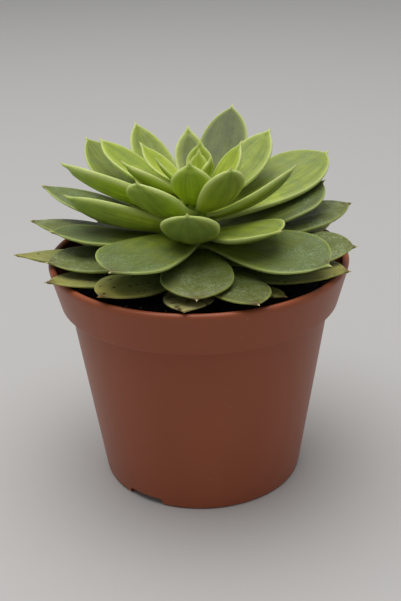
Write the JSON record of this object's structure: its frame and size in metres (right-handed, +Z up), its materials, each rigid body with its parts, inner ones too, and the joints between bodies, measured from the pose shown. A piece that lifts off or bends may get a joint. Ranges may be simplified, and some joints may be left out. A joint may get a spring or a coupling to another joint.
{
  "type": "potted succulent",
  "caption": "Rosette-forming succulent with thick pointed leaves, growing in a round tapered plastic nursery pot filled with soil.",
  "frame": {"origin": "centre of the pot's flat underside, on the pot's axis", "axes": "+Z up along the pot's axis; -Y towards the viewer's side; +X to the viewer's right"},
  "size_m": [0.117, 0.1089, 0.124],
  "materials": {
    "pot_plastic": "terracotta-coloured moulded polypropylene, satin, slightly scuffed at the rim",
    "soil": null,
    "stem": "fleshy green-brown stem with old leaf scars",
    "leaf_old": "oldest leaves: dull olive green, brown spots and dry yellowed tips",
    "leaf_outer": "grey-green waxy leaf skin with a fine powdery bloom and paler margins",
    "leaf_inner": "fresh green translucent leaf flesh with yellow-green margins",
    "leaf_heart": "youngest leaves: bright yellow-green, translucent at the margins, pale bristle tips"
  },
  "bodies": {
    "root": {"pot": "pot_plastic", "soil": "soil", "stem": "stem", "base_leaf_01": "leaf_old", "base_leaf_02": "leaf_old", "base_leaf_03": "leaf_old", "base_leaf_04": "leaf_old", "base_leaf_05": "leaf_old", "base_leaf_06": "leaf_old", "base_leaf_07": "leaf_old", "base_leaf_08": "leaf_old", "base_leaf_09": "leaf_old", "base_leaf_10": "leaf_old", "base_leaf_11": "leaf_old", "outer_leaf_01": "leaf_outer", "outer_leaf_02": "leaf_outer", "outer_leaf_03": "leaf_outer", "outer_leaf_04": "leaf_outer", "outer_leaf_05": "leaf_outer", "outer_leaf_06": "leaf_outer", "outer_leaf_07": "leaf_outer", "outer_leaf_08": "leaf_outer", "outer_leaf_09": "leaf_outer", "outer_leaf_10": "leaf_outer", "outer_leaf_11": "leaf_outer", "middle_leaf_01": "leaf_outer", "middle_leaf_02": "leaf_outer", "middle_leaf_03": "leaf_outer", "middle_leaf_04": "leaf_outer", "middle_leaf_05": "leaf_outer", "middle_leaf_06": "leaf_outer", "middle_leaf_07": "leaf_outer", "middle_leaf_08": "leaf_outer", "upper_leaf_01": "leaf_inner", "upper_leaf_02": "leaf_inner", "upper_leaf_03": "leaf_inner", "upper_leaf_04": "leaf_inner", "upper_leaf_05": "leaf_inner", "upper_leaf_06": "leaf_inner", "inner_leaf_01": "leaf_inner", "inner_leaf_02": "leaf_inner", "inner_leaf_03": "leaf_inner", "inner_leaf_04": "leaf_inner", "inner_leaf_05": "leaf_inner", "inner_leaf_06": "leaf_inner", "heart_leaf_01": "leaf_heart", "heart_leaf_02": "leaf_heart", "heart_leaf_03": "leaf_heart", "heart_leaf_04": "leaf_heart", "heart_leaf_05": "leaf_heart", "heart_leaf_06": "leaf_heart", "heart_leaf_07": "leaf_heart", "heart_leaf_08": "leaf_heart", "bud_leaf_01": "leaf_heart", "bud_leaf_02": "leaf_heart"}
  },
  "joints": []
}
